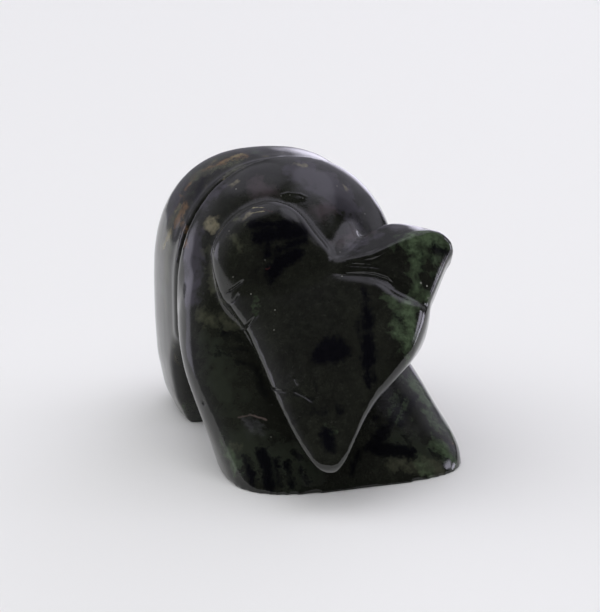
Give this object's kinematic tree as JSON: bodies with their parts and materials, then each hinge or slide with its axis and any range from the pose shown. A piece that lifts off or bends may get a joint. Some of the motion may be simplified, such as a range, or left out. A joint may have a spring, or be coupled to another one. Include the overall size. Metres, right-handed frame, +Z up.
{
  "type": "bear figurine",
  "caption": "Small polished stone bear carved in one piece, standing with its head lowered and turned, rounded ears, a grooved shoulder and an arched notch under the belly.",
  "frame": {"origin": "on the surface the bear stands on, under the middle of its bounding box", "axes": "+Z up, +Y towards the bear's rump (its nose points to -Y), +X towards the bear's left side"},
  "size_m": [0.0296, 0.0504, 0.0329],
  "materials": {
    "jasper": "polished jasper, near-black green with olive patches and dark rings"
  },
  "bodies": {
    "root": {"bear": "jasper"}
  },
  "joints": []
}
